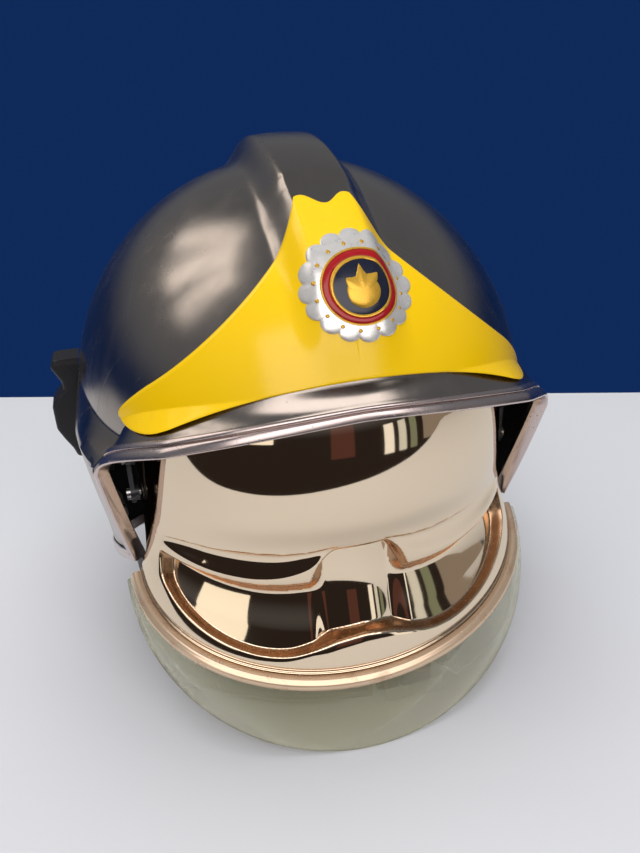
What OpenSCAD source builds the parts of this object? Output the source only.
// Structural fire helmet with a full-face mirror visor that swings up inside the shell.
// The helmet stands on the front of the visor's clear lip and on its nape, as it is put down.
// X runs from the wearer's right to the left, the face looks along -Y and +Z is up.

/* [Shell] */
// Half width of the shell at its widest
shell_half_w = 121.7; // [112:0.1:132]
// Half length of the shell
shell_half_l = 138.7; // [130:0.1:150]
// Height of the crown above the widest line
shell_rise = 125.4; // [115:0.1:135]
// Depth that the sides would close in below the widest line
shell_draw = 261; // [220:1:320]
// Height of the widest line above the table
shell_z = 141; // [136:0.5:146]
// Distance of the shell's centre behind the origin
shell_y = 3.3; // [0:0.1:8]
// Wall of the shell
shell_wall = 4; // [3:0.1:5]
// Slope of the lower rim and of the wearer's level when the helmet is put down, in degrees
pitch = 25; // [20:0.5:28]

/* [Comb] */
// Height of the comb over the crown
comb_h = 11.5; // [6:0.5:16]
// Height of the ridge that carries the front plate
ridge_h = 9.5; // [5:0.5:13]
// Half width of the comb's flat top at the front
comb_half_front = 12; // [10:0.5:16]
// Half width of the comb's flat top over the crown
comb_half_crown = 13; // [10:0.5:18]
// Width of each flank of the comb
comb_flank = 15; // [10:0.5:22]

/* [Brow and face opening] */
// Height of the brow edge in the middle
brow_z = 180.9; // [178:0.1:184]
// Height of the brow corners
corner_z = 146.7; // [142:0.1:150]
// How far the brow corners stand out
flare = 14; // [8:0.5:18]
// Height of the band that flares out over the brow edge
band_h = 13; // [9:0.5:16]
// Turn of the brow corners from the front, in degrees
corner_turn = 57.5; // [54:0.5:60]
// Turn of the cheek corners from the front, in degrees
cheek_turn = 61.3; // [60:0.1:66]
// Height of the cheek corners
cheek_z = 84.4; // [82:0.1:90]
// Height of the flat nape edge above the table
nape_z = 1.7; // [1.6:0.1:1.9]

/* [Edge trim] */
// Thickness of the edge trim's legs
trim_t = 1.2; // [0.8:0.1:1.8]
// Length of the edge trim's legs on the wall
trim_leg = 5; // [3:0.5:8]
// Clearance between the trim and the wall
trim_gap = 0.5; // [0.4:0.05:0.6]

/* [Front plate] */
// Thickness of the front plate
plate_t = 2; // [1.2:0.1:3]
// Half width of the front plate at its wing tips
plate_half_w = 101; // [90:0.5:104]
// Height of the plate's lower edge in the middle
plate_low_z = 196; // [192:0.5:199]
// Drop of the plate's lower edge from the middle to the tips
plate_low_drop = 31; // [28:0.5:34]
// Height of the plate's two humps, before the comb lifts them
plate_top_z = 252.9; // [247:0.1:256]
// Height at which the slopes of the plate's shoulders would meet
plate_peak_z = 258.9; // [256:0.1:261]
// Depth of the notch between the humps
plate_notch = 2.6; // [1:0.1:5]

/* [Visor] */
// Height of the visor's pivot
pivot_z = 132; // [130:0.5:134]
// Place of the visor's pivot from front to back
pivot_y = -5; // [-7:0.5:-3]
// Thickness of the mirror visor
visor_t = 2.5; // [2:0.1:3]
// Depth of the cheek recesses in the visor
recess_d = 11; // [6:0.5:13]
// Depth of the narrow hollow above the cheek recesses
hollow_d = 4.5; // [2:0.5:6]
// Height of the nose ridge over the cheek recesses
nose_h = 6.5; // [3:0.5:9]
// Radius of the rounded bead under the visor
bead_r = 2.6; // [2:0.1:3]
// Thickness of the clear lip
lip_t = 2; // [1.5:0.1:2.5]
// Depth of the clear lip below the bead
lip_drop = 34; // [30:0.5:36]

/* [Visor pivots] */
// Radius of the pivot journal
journal_r = 4; // [3:0.1:5]
// Running clearance around the journal
journal_gap = 0.05; // [0.02:0.01:0.1]
// Thickness of the visor arms
arm_t = 2.2; // [1.6:0.1:3]
// Distance of the arms' inner faces inside the widest line of the shell
arm_inset = 22.3; // [21.5:0.1:23]
// Radius of the round hub of an arm
hub_r = 10; // [8:0.5:12]
// Distance from the pivot to the screws of the visor
arm_reach = 51; // [48:0.5:54]
// Thickness of the friction washers
washer_t = 1; // [0.6:0.1:1.5]

/* [Side hooks] */
// Width of a side hook from front to back
hook_w = 16; // [12:0.5:20]
// How far a side hook stands out from the shell
hook_out = 15; // [11:0.5:18]
// Place of the side hooks from front to back
hook_y = 14; // [10:0.5:18]
// Height of the top of the side hooks
hook_top_z = 171.5; // [168:0.5:174]
// Height of the foot of the side hooks
hook_foot_z = 112; // [110:0.5:115]
// Radius of the hook screws
hook_screw_r = 2.5; // [2:0.1:3]

/* [Liner and harness] */
// Clearance between the visor's sides and the impact liner
liner_clear = 1.5; // [1:0.1:3]
// Distance of the liner's ends inside the ends of the shell
liner_inset = 22.7; // [21:0.1:26]
// Distance of the liner's crown below the crown of the shell, less the drop of its centre
crown_inset = 13.4; // [12.5:0.1:17]
// Wall of the liner at its sides
liner_side_t = 12; // [10:0.5:15]
// Wall of the liner at its ends
liner_end_t = 14; // [12:0.5:18]
// Wall of the liner at its crown, less the drop of the head space
liner_crown_t = 8; // [7:0.5:14]
// Height of the liner's edge over the brow
liner_front_z = 152; // [148:1:156]
// Height of the liner's edge over the nape
liner_back_z = 96; // [90:1:104]
// Thickness of the leather headband
headband_t = 2; // [1.5:0.1:3]
// Height of the leather headband
headband_h = 34; // [28:1:40]
// Width of the webbing straps
strap_w = 20; // [16:0.5:25]
// Thickness of the webbing straps
strap_t = 1.8; // [1.2:0.1:2.5]
// Radius of the nape ratchet knob
knob_r = 17; // [14:0.5:20]
// Height of the nape ratchet knob
knob_h = 11; // [8:0.5:14]
// Pitch radius of the ratchet's pinion
pinion_r = 5; // [4:0.1:6]

/* [Hidden] */
$fn = 48;

shell_c = [0, shell_y, shell_z];
shell_front = shell_half_l - shell_y;
rim_slope = tan(pitch);

function smooth(t) = let (u = min(max(t, 0), 1)) u * u * (3 - 2 * u);
function lerp(a, b, t) = a + (b - a) * t;
function ramp(t, a, b) = smooth((t - a) / (b - a));
function plateau(t, a, b, c, d) = ramp(t, a, b) * (1 - ramp(t, c, d));
function unit(v) = v / norm(v);

// Smooth curve through a list of points, t counts spans
function along(pts, t) =
    let (n = len(pts) - 1, i = min(floor(t), n - 1), f = t - i,
         p0 = pts[max(i - 1, 0)], p1 = pts[i], p2 = pts[i + 1], p3 = pts[min(i + 2, n)])
    0.5 * (2 * p1 + (p2 - p0) * f + (2 * p0 - 5 * p1 + 4 * p2 - p3) * f * f
           + (3 * p1 - p0 - 3 * p2 + p3) * f * f * f);

function quad(a, b, c, d, turned = false) = turned ? [[a, d, b], [d, c, b]] : [[a, c, b], [a, d, c]];

// Closed solid swept through equal loops, with facets that mirror each other across its middle;
// strip ends suit a folded wall, fan ends a convex loop
module skin(loops, closed = false, strip = false) {
    n = len(loops);
    m = len(loops[0]);
    points = [for (l = loops) for (p = l) p];
    sides = [for (i = [0:closed ? n - 1 : n - 2]) for (j = [0:m - 1])
        let (k = (i + 1) % n, q = (j + 1) % m)
        each quad(i * m + j, i * m + q, k * m + q, k * m + j, i >= floor(n / 2))];
    z = (n - 1) * m;
    fans = [for (j = [1:m - 2]) each [[0, j, j + 1], [z, z + j + 1, z + j]]];
    strips = [for (j = [0:m / 2 - 2]) each concat(
        quad(j + 1, j, m - 1 - j, m - 2 - j), quad(z + j, z + j + 1, z + m - 2 - j, z + m - 1 - j))];
    polyhedron(points = points, faces = concat(sides, closed ? [] : strip ? strips : fans), convexity = 10);
}

// Closed dome wall from rings of outer and inner points that end at a pole each; its facets mirror
// each other across the middle
module dome(outer, inner, outer_pole, inner_pole) {
    rows = len(outer);
    m = len(outer[0]);
    half = rows * m;
    points = concat([for (r = outer) for (p = r) p], [for (r = inner) for (p = r) p],
        [outer_pole, inner_pole]);
    walls = [for (r = [0:rows - 2]) for (j = [0:m - 1]) let (q = (j + 1) % m, a = r * m, b = a + m,
        far = j >= m / 2) each concat(quad(a + j, a + q, b + q, b + j, far),
        quad(half + a + j, half + b + j, half + b + q, half + a + q, far))];
    t = (rows - 1) * m;
    crowns = [for (j = [0:m - 1]) let (q = (j + 1) % m) each
        [[t + j, 2 * half, t + q], [half + t + j, half + t + q, 2 * half + 1]]];
    rim = [for (j = [0:m - 1]) let (q = (j + 1) % m) each quad(j, half + j, half + q, q)];
    polyhedron(points = points, faces = concat(walls, crowns, rim), convexity = 10);
}

// Height of the comb along the middle, where m is 0 at the front, 90 at the crown and 180 behind
function comb_rise(m) = ridge_h * ramp(m, 24, 50) + (comb_h - ridge_h) * ramp(m, 65, 70)
    - comb_h * ramp(m, 96, 160);
function comb_half(m) = lerp(comb_half_front, comb_half_crown, ramp(m, 60, 100));
function comb_at(x, m) =
    comb_rise(m) * (1 - smooth(pow(min(max((abs(x) - comb_half(m)) / comb_flank, 0), 1), 0.85)));

// Height of the brow edge and of the crease over the flare at a turn from the front
function edge_z(turn) = let (t = min(abs(turn), corner_turn),
    s = sin(t) / sin(corner_turn)) corner_z + (brow_z - corner_z) * sqrt(max(1 - s * s, 0));
function crease_z(turn) = edge_z(turn) + band_h + 8 * ramp(abs(turn), corner_turn, 91);
function flare_turn(turn) = let (t = abs(turn))
    t < corner_turn ? min(pow(t / 40, 1.5), 1) : max(1 - (t - corner_turn) / 34, 0);
function flare_at(turn, z) = let (e = edge_z(turn), c = crease_z(turn)) flare * flare_turn(turn)
    * (z > e ? max(1 - (z - e) / (c - e), 0) : min(max((z - cheek_z) / (corner_z - cheek_z), 0), 1));

// Point of the shell at a turn from the front and an elevation, off millimetres outside its face
function shell_at(turn, up, off = 0) =
    let (a = shell_half_w + off, b = shell_half_l + off, c = (up >= 0 ? shell_rise : shell_draw) + off,
         z = shell_z + c * sin(up), f = flare_at(turn, shell_z + (c - off) * sin(up)))
    [(a * cos(up) + f) * sin(turn), shell_y - (b * cos(up) + f) * cos(turn), z];
function up_of_z(z) = asin(min(max((z - shell_z) / (z >= shell_z ? shell_rise : shell_draw), -1), 1));

// Lower rim of the shell: a sloped plane that ends in a flat nape
function rim_z(turn) = let (k = lerp(0.976, 0.84, (turn - cheek_turn) / (180 - cheek_turn)))
    max(cheek_z + rim_slope * shell_half_l * (k * cos(turn) - 0.976 * cos(cheek_turn)), nape_z);

// Columns of the shell, counted from the brow's middle over the corner and the cheek to the nape
brow_n = 10;
edge_n = 4;
side_n = 18;
half_n = brow_n + edge_n + side_n;
function rim_turn(i) = i <= brow_n ? corner_turn * i / brow_n
    : i <= brow_n + edge_n ? lerp(corner_turn, cheek_turn, (i - brow_n) / edge_n)
    : lerp(cheek_turn, 180, (i - brow_n - edge_n) / side_n);
function rim_height(i) = i <= brow_n ? edge_z(rim_turn(i))
    : i <= brow_n + edge_n ? lerp(corner_z, cheek_z, (i - brow_n) / edge_n)
    : rim_z(rim_turn(i));
function fold(j) = j <= half_n ? [j, 1] : [2 * half_n - j, -1];
function rim_at(j, off) = let (f = fold((j + 2 * half_n) % (2 * half_n)))
    shell_at(f[1] * rim_turn(f[0]), up_of_z(rim_height(f[0])), off);
// Point of the wall a step away from the rim, in a direction along the wall
function rim_step(j, off, d) = let (f = fold(j), t = f[1] * rim_turn(f[0]), p = rim_at(j, 0),
    r = norm([p.x, p.y - shell_y])) shell_at(t + (d.x * cos(t) + d.y * sin(t)) / r * 57.3,
    up_of_z(rim_height(f[0]) + d.z), off);

shell_rows = 14;
wall_step = 9;
function shell_row(i, r) = let (t0 = rim_turn(i), t1 = 180 * i / half_n, t = lerp(t0, t1, ramp(r, 2, 7)),
    z0 = rim_height(i), z1 = i <= brow_n ? z0 + 3 : corner_z + 3, z2 = crease_z(t),
    k = min(wall_step / (z1 - z0), 1 / 3))
    r < 4 ? [t, up_of_z(lerp(z0, z1, [0, k, (1 + k) / 2, 1][r]))]
    : [t, lerp(up_of_z(z2), 90, (r - 4) / (shell_rows - 4))];
function shell_rings(off) = [for (r = [0:shell_rows - 1]) [for (j = [0:2 * half_n - 1])
    let (f = fold(j), s = shell_row(f[0], r)) shell_at(f[1] * s[0], s[1], off)]];

// Point on the middle part of the dome, across in x and along in m, raised by lift
function crown_at(x, m, lift) = let (k = sqrt(1 - pow(x / shell_half_w, 2)),
    p = [x, -shell_half_l * k * cos(m), shell_rise * k * sin(m)]) shell_c + p * (1 + lift / norm(p));
comb_across = [-1, -0.84, -0.7, -0.58, -0.47, -0.25, 0, 0.25, 0.47, 0.58, 0.7, 0.84, 1];
comb_sink = 1.8;
module comb() {
    loops = [for (i = [0:28]) let (m = 23 + 148 * i / 28, w = comb_half(m) + comb_flank) concat(
        [for (s = comb_across) crown_at(s * w, m, abs(s) == 1 ? -comb_sink : comb_at(s * w, m))],
        [for (k = [len(comb_across) - 1:-1:0]) crown_at(comb_across[k] * w, m, -comb_sink - 0.8)])];
    skin(loops, strip = true);
}

module mirrored() {
    children();
    mirror([1, 0, 0]) children();
}

module across(x0, x1, y, z, r) {
    translate([x0, y, z]) rotate([0, 90, 0]) cylinder(h = x1 - x0, r = r);
}

hook_screws_z = [hook_foot_z + 8, hook_top_z - 10];
screw_gap = 0.1;
function side_x(y, z, off) = let (b = shell_half_l + off, c = (z >= shell_z ? shell_rise : shell_draw) + off)
    (shell_half_w + off) * sqrt(1 - pow((y - shell_y) / b, 2) - pow((z - shell_z) / c, 2));

// What the visor hangs on is counted inwards from the widest line of the shell
arm_x = shell_half_w - arm_inset;
arm_stud = 2.1;
arm_screw_r = 2;
visor_half_w = arm_x - arm_stud - 0.3;

module outer_shell() {
    color("#77716a") difference() {
        union() {
            dome(shell_rings(0), shell_rings(-shell_wall), shell_c + [0, 0, shell_rise],
                 shell_c + [0, 0, shell_rise - shell_wall]);
            comb();
        }
        mirrored() {
            for (z = hook_screws_z)
                across(side_x(hook_y, z, -shell_wall) - 6, side_x(hook_y, z, 0) + 6, hook_y, z,
                    hook_screw_r + screw_gap);
            anchor_frame() across(-6, rivet_depth, 0, 0, rivet_r + screw_gap);
        }
    }
}

// Front plate, seen from the front as a band between two curves
plate_slope = 0.82;
plate_hump_x = 9;
plate_round = 16;
plate_seat = 0.6;
plate_columns = [0, 0.07, 0.134, 0.165, 0.2, 0.238, 0.282, 0.34, 0.42, 0.51, 0.6, 0.69, 0.77, 0.84, 0.9,
    0.955, 1];
function plate_low(x) = plate_low_z - plate_low_drop * pow(x / plate_half_w, 2);
function plate_fall(a) = 0.06 * pow(max(a - plate_hump_x, 0), 2);
function plate_up(x) = let (a = abs(x)) a < comb_half_front
    ? plate_top_z - plate_notch * (1 + cos(180 * min(a / plate_hump_x, 1))) / 2 - plate_fall(a)
    : plate_peak_z - plate_slope * a + (plate_top_z - plate_fall(comb_half_front) - plate_peak_z
      + plate_slope * comb_half_front) * exp((comb_half_front - a) / 5.5);
function plate_z(x, t) = let (a = abs(x), mid = (plate_low(x) + plate_up(x)) / 2,
    h = (plate_up(x) - plate_low(x)) / 2, c = max(a - plate_half_w + plate_round, 0) / plate_round)
    mid + (2 * t - 1) * h * sqrt(max(1 - c * c, 0.002));
function front_depth(x, z, off) = sqrt(max(1 - pow(x / (shell_half_w + off), 2)
    - pow((z - shell_z) / (shell_rise + off), 2), 0));
function front_at(x, z, off) = let (b = shell_half_l + off, k0 = front_depth(x, z, off), t = atan2(x, b * k0),
    f = flare_at(t, z), k = front_depth(x - f * sin(t), z, off), p = [x, -b * k - f * cos(t), z - shell_z],
    m = atan2((z - shell_z) / (shell_rise + off), k)) shell_c + p * (1 + comb_at(x, m) / norm(p));
module front_plate() {
    rows = 8;
    loops = [for (i = [-16:16]) let (x = sign(i) * plate_half_w * plate_columns[abs(i)]) concat(
        [for (j = [rows:-1:0]) front_at(x, plate_z(x, j / rows), plate_seat + plate_t)],
        [for (j = [0:rows]) front_at(x, plate_z(x, j / rows), plate_seat)])];
    color("#e2b40c") skin(loops, strip = true);
}

module edge_trim() {
    loops = [for (j = [0:2 * half_n - 1]) let (o = rim_at(j, 0), i = rim_at(j, -shell_wall),
        n = unit(rim_at(j, 1) - o), d = unit(cross(n, rim_at(j + 1, 0) - rim_at(j - 1, 0))),
        g = trim_gap, t = trim_gap + trim_t, a = rim_step(j, 0, d * trim_leg),
        b = rim_step(j, -shell_wall, d * trim_leg)) [
        a + n * t, o + n * t - d * t, i - n * t - d * t, b - n * t, b - n * g, i - n * g - d * g,
        o + n * g - d * g, a + n * g]];
    // The trim is flat where the helmet stands on it
    far = flare + trim_leg + trim_t + shell_y;
    room = [2 * (shell_half_w + far), 2 * (shell_half_l + far), brow_z + band_h];
    color("#8f8983") intersection() {
        skin(loops, closed = true);
        translate([-room.x / 2, -room.y / 2, 0]) cube(room);
    }
}

// The visor's surface lies between a middle profile and a side profile, with a hollow, two cheek
// recesses and a nose ridge pressed into its lower half. The middle profile is counted back from the
// front of the shell, the side profile outwards and forwards from the ends of the arms
visor_mid = [for (p = [[16.9, 187], [10.9, 170], [8.4, 150], [11.9, 127], [19.4, 109], [19.4, 85], [16.4, 62],
    [9.4, 48], [4.7, 39.9]]) [p[0] - shell_front, p[1]]];
visor_side = [for (p = [[0, 16, 160], [0, 13, 150], [0, 10, 138], [0, 6, 124], [0, 1, 110], [0.5, -5, 100],
    [1.5, -11, 92], [4, -10.5, 85], [6.5, -8.8, 78]]) p + [visor_half_w, pivot_y - arm_reach, 0]];
visor_spans = len(visor_mid) - 1;
function visor_base(u, v) = let (e = along(visor_side, v * visor_spans), m = along(visor_mid, v * visor_spans))
    [e.x * sin(90 * u), lerp(e.y, m[0], cos(90 * u)), lerp(e.z, m[1], cos(90 * u))];
function relief(u, v) = let (a = abs(u))
    hollow_d * plateau(v, 0.5, 0.545, 0.56, 0.6) * plateau(a, 0.05, 0.14, 0.5, 0.62)
    + recess_d * plateau(v, 0.6, 0.65, 0.76, 0.86) * (1 - ramp(a, 0.62, 0.78))
    - nose_h * plateau(v, 0.58, 0.64, 0.76, 0.86) * (1 - ramp(a, 0.1, 0.19));
function visor_at(u, v, off) = let (p = visor_base(u, v), e = 0.004,
    n = unit(cross(visor_base(u + e, v) - visor_base(u - e, v), visor_base(u, max(v - e, 0))
        - visor_base(u, min(v + e, 1))))) p + n * (off - relief(u, v));
module visor_shield() {
    n = 38;
    rows = 18;
    loops = [for (i = [-n / 2:n / 2]) let (u = 2 * i / n) concat(
        [for (j = [0:rows]) visor_at(u, j / rows, 0)],
        [for (j = [rows:-1:0]) visor_at(u, j / rows, -visor_t)])];
    color("#c8a878") difference() {
        skin(loops, strip = true);
        for (s = arm_screws_at) mirrored() across(visor_half_w - 7, arm_x, s[0], s[1], arm_screw_r + screw_gap);
    }
}
arm_turns = [-14, 10];
arm_screws_at = [for (a = arm_turns) [pivot_y - arm_reach * cos(a), pivot_z + arm_reach * sin(a)]];

// Curves of the bead and of the lip's edge, from one side to the other. The bead follows the lower
// edge of the visor, and the lip's edge lies outside and below the bead
bead_side = visor_side[visor_spans] + [1, 0.8, -2.5];
bead_mid = visor_mid[visor_spans] + [-0.8, -2.6];
lip_side = [bead_side.x + 5, bead_side.y, bead_mid[1] + lip_drop + 1.5];
lip_mid = [bead_mid[0] - 10.1, bead_mid[1] - lip_drop - 3.1];
function bow(side, mid, u) = let (k = cos(90 * u))
    [side[0] * sin(90 * u), lerp(side[1], mid[0], k), lerp(side[2], mid[1], k)];
function bead_at(u) = bow(bead_side, bead_mid, u);
function lip_edge(u) = bow(lip_side, lip_mid, u);
module visor_bead() {
    n = 48;
    sides = 8;
    loops = [for (i = [-n / 2:n / 2]) let (u = 2 * i / n, t = unit(bead_at(u + 0.01) - bead_at(u - 0.01)),
        a = unit(cross(t, [0, -0.27, -1])), b = cross(t, a)) [for (k = [0:sides - 1]) let (w = 360 * k / sides)
        bead_at(u) + bead_r * (a * cos(w) + b * sin(w))]];
    color("#b48f63") skin(loops);
}

lip_bulge = 1.5;
function lip_at(u, v) = let (b = bead_at(u), e = lip_edge(u), t = lerp((bead_r + 0.1) / norm(e - b), 1, v),
    n = unit([b.x, b.y + 40, -10])) lerp(b, e, t) + n * lip_bulge * sin(180 * t);
function lip_normal(u, v) = unit(cross(lip_at(u + 0.01, v) - lip_at(u - 0.01, v),
    lip_at(u, v - 0.02) - lip_at(u, v + 0.02)));
module visor_lip() {
    n = 44;
    rows = 4;
    loops = [for (i = [-n / 2:n / 2]) let (u = 2 * i / n) concat(
        [for (j = [0:rows]) lip_at(u, j / rows) + lip_normal(u, j / rows) * lip_t / 2],
        [for (j = [rows:-1:0]) lip_at(u, j / rows) - lip_normal(u, j / rows) * lip_t / 2])];
    color([0.72, 0.74, 0.62, 0.6]) skin(loops, strip = true);
}

// Visor arms, seen along X: a hub and two spokes that end in screw pads joined by a rail
arm_pad_r = 5.5;
arm_bar = 8.2;
module arm_outline() {
    translate([pivot_y, pivot_z]) {
        circle(hub_r);
        for (a = arm_turns) rotate(180 - a) translate([0, -arm_bar / 2]) square([arm_reach, arm_bar]);
    }
    for (s = arm_screws_at) translate(s) circle(arm_pad_r);
    rail = arm_screws_at[1] - arm_screws_at[0];
    translate(arm_screws_at[0]) rotate(atan2(rail[1], rail[0])) translate([0, -arm_bar / 2])
        square([norm(rail), arm_bar]);
}
module visor_arm() {
    color("#2b2b2d") difference() {
        union() {
            translate([arm_x, 0, 0]) rotate([90, 0, 90]) linear_extrude(arm_t) arm_outline();
            for (s = arm_screws_at) across(arm_x - arm_stud, arm_x + 0.01, s[0], s[1], arm_pad_r - 1);
        }
        across(arm_x - 4, arm_x + arm_t + 1, pivot_y, pivot_z, journal_r + journal_gap);
        for (s = arm_screws_at) across(arm_x - 4, arm_x + arm_t + 1, s[0], s[1], arm_screw_r + screw_gap);
    }
}
module visor_arm_left() visor_arm();
module visor_arm_right() mirror([1, 0, 0]) visor_arm();

head_gap = 0.05;
module screw(x_tip, x_seat, y, z, r, head_r, head_h) {
    across(min(x_tip, x_seat), max(x_tip, x_seat), y, z, r);
    difference() {
        across(min(x_seat, x_seat + head_h), max(x_seat, x_seat + head_h), y, z, head_r);
        far = x_seat + head_h * 0.55;
        slot = [abs(head_h), head_r * 1.3, head_r * 0.28];
        for (a = [0, 90]) translate([far + head_h / 2, y, z]) rotate([a, 0, 0]) cube(slot, center = true);
    }
}
module visor_arm_screws() {
    color("#b9bcc0") mirrored() for (s = arm_screws_at)
        screw(arm_x - arm_stud - visor_t - 1.5, arm_x + arm_t + head_gap, s[0], s[1], arm_screw_r, 3.8, 2);
}

// Pivot bracket inside the shell: plate, bosses for the hook screws, shoulder and journal
bracket_t = 3;
bracket_x = shell_half_w - 9.4;
bracket_front = 17;
bracket_back = 10;
boss_r = 4.6;
washer_x = arm_x + arm_t + 0.1;
journal_tip = arm_x - 0.3;
module rounded(w, d, r) {
    for (x = [r, w - r]) for (y = [r, d - r]) translate([x, y]) circle(r);
    translate([r, 0]) square([w - 2 * r, d]);
    translate([0, r]) square([w, d - 2 * r]);
}
module pivot_bracket() {
    lo = [pivot_y - bracket_front, hook_screws_z[0] - 7];
    hi = [hook_y + bracket_back, hook_screws_z[1] + 7];
    color("#35363a") difference() {
        union() {
            translate([bracket_x - bracket_t, lo[0], lo[1]]) rotate([90, 0, 90])
                linear_extrude(bracket_t) rounded(hi[0] - lo[0], hi[1] - lo[1], 6);
            for (z = hook_screws_z) across(bracket_x - 1, min(side_x(hook_y, z - boss_r, -shell_wall),
                side_x(hook_y, z + boss_r, -shell_wall)) - 0.85, hook_y, z, boss_r);
            across(washer_x + washer_t + 0.1, bracket_x - 1, pivot_y, pivot_z, 11);
            across(journal_tip, bracket_x - 1, pivot_y, pivot_z, journal_r);
        }
        for (z = hook_screws_z) across(bracket_x - 8, shell_half_w, hook_y, z, hook_screw_r + screw_gap);
        across(journal_tip - 1, journal_tip + 9.5, pivot_y, pivot_z, pivot_screw_r + screw_gap);
    }
}
pivot_screw_r = 2;
module pivot_bracket_left() pivot_bracket();
module pivot_bracket_right() mirror([1, 0, 0]) pivot_bracket();

module friction_washers() {
    color("#d8d2c0") mirrored() difference() {
        across(washer_x, washer_x + washer_t, pivot_y, pivot_z, 10);
        across(washer_x - 1, washer_x + washer_t + 1, pivot_y, pivot_z, journal_r + 0.1);
    }
}

cap_t = 1.2;
module pivot_washers() {
    color("#9fa3a8") mirrored() difference() {
        across(journal_tip - cap_t, journal_tip - 0.02, pivot_y, pivot_z, 8);
        across(journal_tip - cap_t - 1, journal_tip + 1, pivot_y, pivot_z, pivot_screw_r + screw_gap);
    }
}
module pivot_screws() {
    color("#c4c7ca") mirrored()
        screw(journal_tip + 8.5, journal_tip - cap_t - head_gap, pivot_y, pivot_z, pivot_screw_r, 4.2, -1.9);
}

// Side hook: a flanged head over a neck for a strap ring, with a ribbed grip below
hook_profile = [[0, 14.4], [-4.5, 15.2], [-13, 9.6], [-18, 8.6], [-22, 12.4], [-27, 15.6], [-41, 15.6],
    [-47, 13], [-54, 9.4], [-59.5, 8]];
hook_rib = 0.8;
hook_rib_step = 1.7;
hook_head_seat = 5;
module side_hook() {
    k = hook_out / 15;
    d = (hook_top_z - hook_foot_z) / 59.5;
    face = [for (p = hook_profile) let (z = hook_top_z + p[0] * d) [side_x(hook_y, z, 0) + p[1] * k, z]];
    back = [for (i = [8:-1:0]) let (z = lerp(hook_top_z, hook_foot_z, i / 8)) [side_x(hook_y, z, 0) + 0.6, z]];
    grip_x = side_x(hook_y, shell_z, 0) + 15.6 * k - hook_rib;
    color("#1d1e20") difference() {
        intersection() {
            translate([0, hook_y + hook_w / 2, 0]) rotate([90, 0, 0])
                linear_extrude(hook_w) polygon(concat(face, back));
            translate([shell_half_w - 14, hook_y - hook_w / 2, hook_foot_z - 1])
                linear_extrude(hook_top_z - hook_foot_z + 2) rounded(14 + hook_out + 1, hook_w, 4.5);
        }
        for (i = [0:7]) translate([grip_x, hook_y - hook_w, hook_top_z - 28 * d - i * hook_rib_step])
            cube([4, 2 * hook_w, hook_rib]);
        for (z = hook_screws_z) {
            across(shell_half_w - 10, shell_half_w + hook_out + 9, hook_y, z, hook_screw_r + screw_gap);
            across(side_x(hook_y, z, 0) + hook_head_seat, shell_half_w + hook_out + 9, hook_y, z, 4.6);
        }
    }
}
module side_hook_left() side_hook();
module side_hook_right() mirror([1, 0, 0]) side_hook();
module hook_screws() {
    color("#6d6f73") mirrored() for (z = hook_screws_z) let (seat = side_x(hook_y, z, 0) + hook_head_seat)
        screw(bracket_x - bracket_t, seat + head_gap, hook_y, z, hook_screw_r, 4.4, 2.4);
}

// Impact liner between the head space and the swept space of the visor
liner_c = shell_c + [0, 8.7, -4];
head_c = liner_c + [0, 5, -7];
liner_draw = 200;
liner_half_w = visor_half_w - visor_t - liner_clear;
liner_half_l = shell_half_l - liner_inset;
liner_rise = shell_rise - crown_inset;
head_half_w = liner_half_w - liner_side_t;
head_half_l = liner_half_l - liner_end_t;
head_rise = liner_rise - liner_crown_t;
function oval(c, a, b, rise, turn, up) = c + [a * cos(up) * sin(turn), -b * cos(up) * cos(turn),
    (up >= 0 ? rise : liner_draw) * sin(up)];
function liner_edge_z(turn) = lerp(liner_front_z, liner_back_z, (1 - cos(turn)) / 2);
function liner_ring(c, a, b, rise, k, n, rows) = [for (j = [0:n - 1]) let (t = 360 * j / n,
    s = (liner_edge_z(t) - c.z), u0 = asin(s / (s >= 0 ? rise : liner_draw)))
    oval(c, a, b, rise, t, lerp(u0, 90, k / rows))];
module impact_liner() {
    n = 44;
    rows = 9;
    color("#3c4046") dome(
        [for (k = [0:rows - 1]) liner_ring(liner_c, liner_half_w, liner_half_l, liner_rise, k, n, rows)],
        [for (k = [0:rows - 1]) liner_ring(head_c, head_half_w, head_half_l, head_rise, k, n, rows)],
        liner_c + [0, 0, liner_rise], head_c + [0, 0, head_rise]);
}

// Spacers carry the liner clear of the visor's swept space: turn from the front and height. Each one
// stands square to the shell and reaches inwards to the liner
spacer_r = 6;
spacers = [[180, 150], [135, 140], [-135, 140], [105, 136], [-105, 136], [158, 215], [-158, 215]];
spacer_gap_out = 1;
spacer_gap_in = 0.6;
module rod(p, q, r) {
    d = q - p;
    translate(p) rotate([0, acos(d.z / norm(d)), atan2(d.y, d.x)]) cylinder(h = norm(d), r = r);
}
function shell_normal(p) = let (d = p - shell_c, c = d.z >= 0 ? shell_rise : shell_draw)
    unit([d.x / pow(shell_half_w, 2), d.y / pow(shell_half_l, 2), d.z / pow(c, 2)]);
function squeezed(v) = [v.x / liner_half_w, v.y / liner_half_l, v.z / liner_rise];
// Distance from a point, in a direction, to the liner's outer face
function liner_reach(p, n) = let (e = squeezed(p - liner_c), g = squeezed(n), a = g * g, b = e * g)
    (-b - sqrt(b * b - a * (e * e - 1))) / a;
module liner_spacers() {
    color("#55585c") for (s = spacers) {
        q = shell_at(s[0], up_of_z(s[1]), -shell_wall - spacer_gap_out);
        n = -shell_normal(q);
        rod(q, q + n * (liner_reach(q, n) - spacer_gap_in), spacer_r);
    }
}

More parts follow.
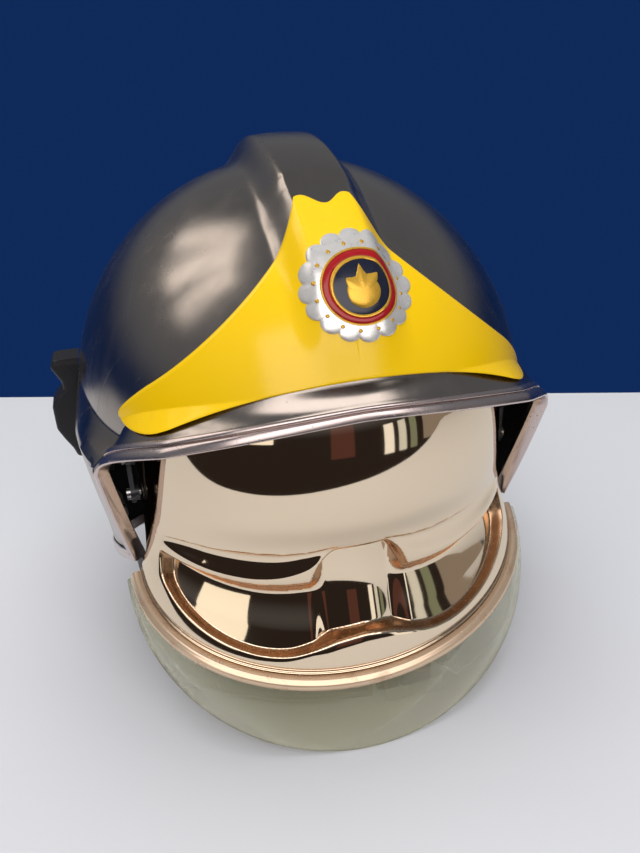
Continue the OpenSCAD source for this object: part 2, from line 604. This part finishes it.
// The harness is level when the helmet is worn
module worn() {
    translate(head_c) rotate([-pitch, 0, 0]) children();
}
harness_gap = 4.5;
band_a = head_half_w - harness_gap;
band_b = head_half_l - harness_gap;
band_top = -1;
module headband() {
    n = 44;
    loops = [for (i = [0:n - 1]) let (t = 360 * i / n, o = [band_a * sin(t), -band_b * cos(t), 0],
        q = [(band_a - headband_t) * sin(t), -(band_b - headband_t) * cos(t), 0], h = [0, 0, headband_h]) [
        o + [0, 0, band_top], o + [0, 0, band_top] - h, q + [0, 0, band_top] - h, q + [0, 0, band_top]]];
    color("#4b3527") worn() skin(loops, closed = true);
}

// Soft brow pad inside the headband, thickest in its middle and drawn in at its edges
brow_pad_t = 6;
module brow_pad() {
    n = 24;
    rows = 6;
    a = band_a - headband_t - 0.3;
    b = band_b - headband_t - 0.3;
    h = headband_h / 2;
    function pad_at(t, s, k) = [(a - k) * sin(t), -(b - k) * cos(t), band_top - h + s * (h - 2)];
    function dome_of(e, power) = sqrt(max(1 - pow(abs(e), power), 0));
    function fill(e, s) = 1 + brow_pad_t * dome_of(e, 4) * dome_of(s, 3);
    loops = [for (i = [0:n]) let (e = 2 * i / n - 1, t = 52 * e) concat(
        [for (j = [0:rows]) let (s = 1 - 2 * j / rows) pad_at(t, s, 0)],
        [for (j = [rows:-1:0]) let (s = 1 - 2 * j / rows) pad_at(t, s, fill(e, s))])];
    color("#2a2b2e") worn() skin(loops, strip = true);
}

// Two webbing straps that cross under the crown and hang down outside the headband. At its band's level
// a strap stands at edge from the middle, and above that it follows the inside of the liner
cradle_gap = 0.35;
function reach(d) = let (y = d.y * cos(pitch) + d.z * sin(pitch), z = d.z * cos(pitch) - d.y * sin(pitch))
    1 / norm([d.x / head_half_w, y / head_half_l, z / head_rise]);
function cradle_at(t, side, edge, off) = let (q = t > 90 ? 180 - t : t, d = side * sign(90.01 - t) * cos(q)
    + [0, 0, sin(q)]) d * (q < 0 ? (edge - off) / cos(q)
    : lerp(edge, reach(d) - harness_gap + strap_t + cradle_gap, ramp(q, 0, 20)) - off);
module cradle_strap(side, edge, last) {
    n = 26;
    w = cross(side, [0, 0, strap_w / 2]);
    skin([for (i = [0:n]) let (t = lerp(-8, last, i / n), o = cradle_at(t, side, edge, 0),
        q = cradle_at(t, side, edge, strap_t)) [o + w, o - w, q - w, q + w]]);
}
module crown_cradle() {
    color("#6a6d70") worn() {
        cradle_strap([0, -1, 0], band_b + strap_t + cradle_gap, 175);
        cradle_strap([1, 0, 0], band_a + strap_t + cradle_gap, 188);
    }
}

// Nape ratchet: two curved racks, a pinion on the knob's shaft and a housing around them
rack_t = 1.6;
rack_h = 5;
rack_gap = 0.3;
wall_t = 1.6;
house_gap = 0.3;
nape_r = pow(band_a, 2) / band_b;
arc_r = nape_r + house_gap + wall_t + rack_gap;
arc_y = band_b - nape_r;
rack_end = 53;
rack_tip = 14;
tooth_h = 0.7;
tooth_turn = 2.3;
ratchet_z = -26;
house_turn = 27;
knob_ribs = 16;
module ratchet_frame() {
    worn() translate([0, arc_y, ratchet_z]) children();
}
module arc_bar(r, t, z0, h, a0, a1) {
    rotate(90 - a1) rotate_extrude(angle = a1 - a0, $fn = 180) translate([r, z0]) square([t, h]);
}
module rack() {
    arc_bar(arc_r, rack_t, pinion_r + tooth_h + 0.2, rack_h, -rack_tip, rack_end);
    for (a = [-rack_tip + 1:tooth_turn:rack_tip + 10]) rotate(-a) translate([-0.6, arc_r, pinion_r + 0.2])
        cube([1.2, rack_t, tooth_h + 0.1]);
}
module rack_left() {
    color("#25272a") ratchet_frame() rack();
}
module rack_right() {
    color("#25272a") ratchet_frame() rotate([0, 180, 0]) rack();
}
cavity_h = 2 * (pinion_r + tooth_h + 0.2 + rack_h + rack_gap);
module ratchet_housing() {
    color("#303236") ratchet_frame() difference() {
        arc_bar(arc_r - rack_gap - wall_t, rack_t + 2 * (rack_gap + wall_t), -cavity_h / 2 - wall_t,
                cavity_h + 2 * wall_t, -house_turn, house_turn);
        arc_bar(arc_r - rack_gap, rack_t + 2 * rack_gap, -cavity_h / 2, cavity_h, -house_turn - 1,
                house_turn + 1);
        translate([0, arc_r, 0]) rotate([-90, 0, 0]) cylinder(h = 9, r = 3.05);
    }
}
knob_y = arc_r + rack_t + rack_gap + wall_t + 0.35;
module ratchet_knob() {
    color("#1c1d1f") ratchet_frame() rotate([-90, 0, 0]) {
        translate([0, 0, arc_r + 0.1]) {
            cylinder(h = rack_t - 0.2, r = pinion_r - 0.7);
            for (i = [0:9]) rotate(36 * i) translate([0, -0.6, 0])
                cube([pinion_r - 0.05, 1.2, rack_t - 0.2]);
        }
        translate([0, 0, arc_r + 0.2]) cylinder(h = knob_y - arc_r, r = 3);
        translate([0, 0, knob_y]) difference() {
            cylinder(h = knob_h, r = knob_r);
            for (i = [0:knob_ribs - 1]) rotate(360 * i / knob_ribs) translate([knob_r + 1.2, 0, 2.5])
                cylinder(h = knob_h, r = 2.4);
            translate([0, 0, knob_h - 1.5]) cylinder(h = 2, r = knob_r - 5);
        }
    }
}

// Chin strap, laid forward behind the lip, with its anchors, slides and buckle
anchor_y = 5;
anchor_z = 73;
anchor_tilt = 8;
anchor_x = side_x(anchor_y, anchor_z, -shell_wall);
rivet_r = 2;
rivet_depth = 2.8;
anchor_t = 1.6;
anchor_seat = 0.95;
anchor_w = 18;
anchor_h = 16;
strap_off = -anchor_seat - anchor_t - strap_t / 2 - 0.6;
buckle_c = [25, 37.4 - shell_front, 6.6];
module ribbon(pts, ups, w, t) {
    n = len(pts) - 1;
    loops = [for (i = [0:n]) let (d = unit(pts[min(i + 1, n)] - pts[max(i - 1, 0)]),
        s = unit(cross(d, ups[i])), u = cross(s, d)) [
        pts[i] + s * w / 2 - u * t / 2, pts[i] - s * w / 2 - u * t / 2,
        pts[i] - s * w / 2 + u * t / 2, pts[i] + s * w / 2 + u * t / 2]];
    skin(loops);
}
module chin_strap(side, knots) {
    steps = 4;
    spans = len(knots) - 1;
    pts = [for (i = [0:spans * steps]) along(knots, i / steps)];
    ups = [for (i = [0:spans * steps]) let (t = i / steps, r = 1 - ramp(t, 1.6, spans - 1)) unit([
        side * r * cos(anchor_tilt), 0, ramp(t, 1.3, spans - 1) - r * sin(anchor_tilt)])];
    color("#2c2e31") difference() {
        ribbon(pts, ups, strap_w, strap_t);
        mirrored() anchor_frame() across(-9, 9, 0, 0, rivet_r + screw_gap);
    }
}
// Point on the chin strap's centre line over the anchor, along and up from the rivet
function anchored(side, y, z) = [
    side * (anchor_x + strap_off * cos(anchor_tilt) + z * sin(anchor_tilt)), anchor_y + y,
    anchor_z - strap_off * sin(anchor_tilt) + z * cos(anchor_tilt)];
left_knots = [anchored(1, 7, 8), anchored(1, 0, 0), anchored(1, -7, -8), [anchor_x - 10.5, -15, 48],
    [anchor_x - 19.5, -38, 29], [76, buckle_c.y + 26, 13], [60, buckle_c.y + 8, 8.5],
    [buckle_c.x + 21, buckle_c.y, buckle_c.z]];
right_knots = [anchored(-1, 7, 8), anchored(-1, 0, 0), anchored(-1, -7, -8), [10.5 - anchor_x, -15, 48],
    [20.5 - anchor_x, -38, 28], [-68, buckle_c.y + 30, 11], [-36, buckle_c.y + 10, 7.5],
    [buckle_c.x - 17.5, buckle_c.y, buckle_c.z]];
module chin_strap_left() chin_strap(1, left_knots);
module chin_strap_right() chin_strap(-1, right_knots);

module anchor_frame() {
    translate([anchor_x, anchor_y, anchor_z]) rotate([0, anchor_tilt, 0]) children();
}
module strap_anchors() {
    color("#8d9095") mirrored() anchor_frame() difference() {
        translate([-anchor_t - anchor_seat, -anchor_w / 2, -anchor_h / 2]) rotate([90, 0, 90])
            linear_extrude(anchor_t) rounded(anchor_w, anchor_h, 5);
        across(-9, 9, 0, 0, rivet_r + screw_gap);
    }
}
module anchor_rivets() {
    color("#b4b6b9") mirrored() {
        anchor_frame() {
            across(strap_off - strap_t / 2 - 1.5, strap_off - strap_t / 2 - 0.1, 0, 0, 4.5);
            across(strap_off - strap_t / 2 - 0.2, rivet_depth - 0.2, 0, 0, rivet_r);
        }
    }
}

buckle = [18, 25, 9];
button = [8, 12, 1.9];
pocket_d = 2.6;
module buckle_socket() {
    color("#141517") translate(buckle_c) difference() {
        translate([0, -buckle.y / 2, -buckle.z / 2]) linear_extrude(buckle.z) rounded(buckle.x, buckle.y, 3);
        translate([-1, -8, -2]) cube([13, 16, 4]);
        translate([4, -button.y / 2 - 0.2, buckle.z / 2 - pocket_d]) cube([button.x + 0.4, button.y + 0.4, 4]);
        translate([14, -strap_w / 2 - 0.5, -1.3]) cube([6, strap_w + 1, 2.6]);
    }
}
module buckle_plug() {
    color("#1b1c1f") translate(buckle_c) difference() {
        union() {
            translate([-13, -buckle.y / 2, -buckle.z / 2 + 0.5])
                linear_extrude(buckle.z - 1) rounded(12.8, buckle.y, 3);
            translate([-2, -7.7, -1.7]) cube([12.5, 15.4, 3.3]);
        }
        translate([-15, -strap_w / 2 - 0.5, -1.3]) cube([6, strap_w + 1, 2.6]);
        translate([4, -3, -3]) cube([4, 6, 6]);
    }
}
module buckle_button() {
    color("#b3201c") translate(buckle_c + [4.2, -button.y / 2, buckle.z / 2 - pocket_d + button.z]) cube(button);
}

outer_shell();
front_plate();
edge_trim();
side_hook_left();
side_hook_right();
hook_screws();
visor_shield();
visor_bead();
visor_lip();
visor_arm_left();
visor_arm_right();
visor_arm_screws();
pivot_bracket_left();
pivot_bracket_right();
friction_washers();
pivot_washers();
pivot_screws();
impact_liner();
liner_spacers();
headband();
brow_pad();
crown_cradle();
ratchet_housing();
ratchet_knob();
rack_left();
rack_right();
chin_strap_left();
chin_strap_right();
strap_anchors();
anchor_rivets();
buckle_socket();
buckle_plug();
buckle_button();
